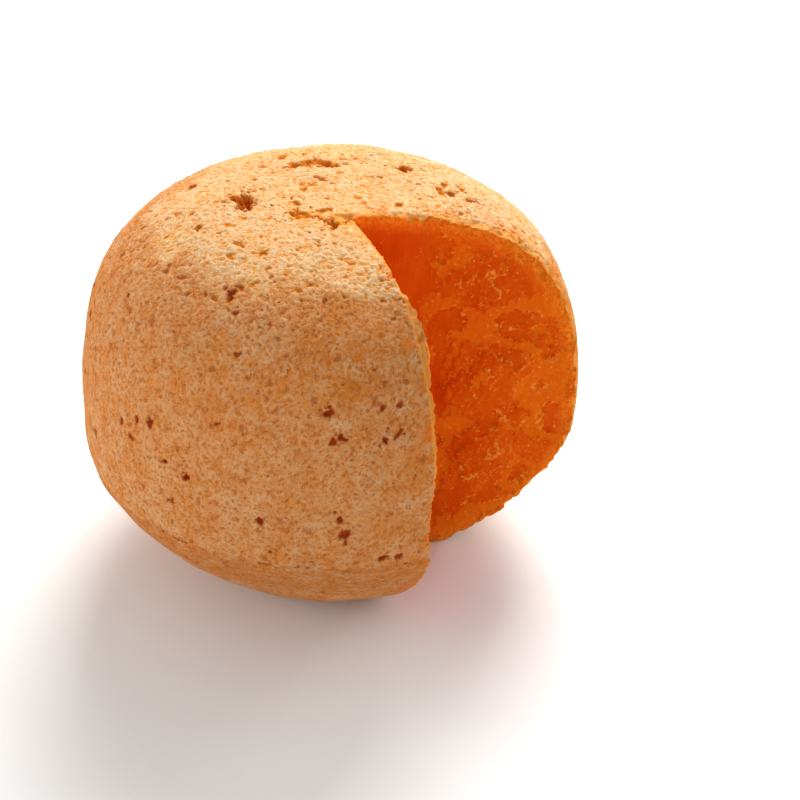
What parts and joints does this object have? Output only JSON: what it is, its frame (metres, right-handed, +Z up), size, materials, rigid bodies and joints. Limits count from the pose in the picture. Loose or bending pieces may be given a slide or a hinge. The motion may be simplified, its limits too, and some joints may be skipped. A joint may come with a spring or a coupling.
{
  "type": "ball of cheese",
  "caption": "Flattened ball of hard aged cheese with a dry pitted rind, one wedge cut out from top to bottom, resting on a small flat foot.",
  "frame": {"origin": "centre of the ball's footprint, on the surface it rests on", "axes": "+Z up through the crown; the notch opens between +X and -Y, its middle at 45 degrees"},
  "size_m": [0.199, 0.2009, 0.155],
  "materials": {
    "cheese": "dry floury orange-brown rind with pores and pits; deep-orange waxy paste on the two cut faces"
  },
  "bodies": {
    "root": {"cheese_ball": "cheese"}
  },
  "joints": []
}
